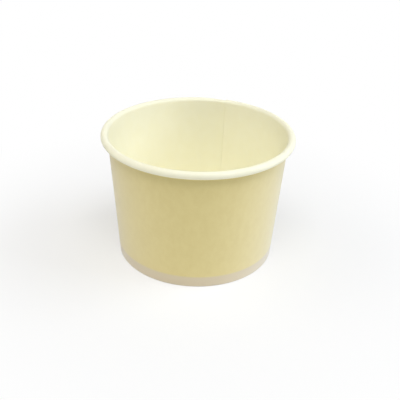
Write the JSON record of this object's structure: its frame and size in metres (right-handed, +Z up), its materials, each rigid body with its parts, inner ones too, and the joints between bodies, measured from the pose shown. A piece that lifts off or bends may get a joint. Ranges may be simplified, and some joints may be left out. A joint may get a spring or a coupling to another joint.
{
  "type": "paper soup container",
  "caption": "Squat tapered paperboard soup container with a rolled rim, a lapped side seam and a recessed bottom held in the folded foot, without its lid.",
  "frame": {"origin": "centre of the foot on the table plane", "axes": "+Z up along the container's axis, towards the rim; the side seam is at the rear right, 71.5 degrees round from +X"},
  "size_m": [0.09, 0.09, 0.0615],
  "materials": {
    "wall_board": "satin",
    "bottom_board": "satin"
  },
  "bodies": {
    "root": {"side_wall": "wall_board", "bottom_disc": "bottom_board"}
  },
  "joints": []
}
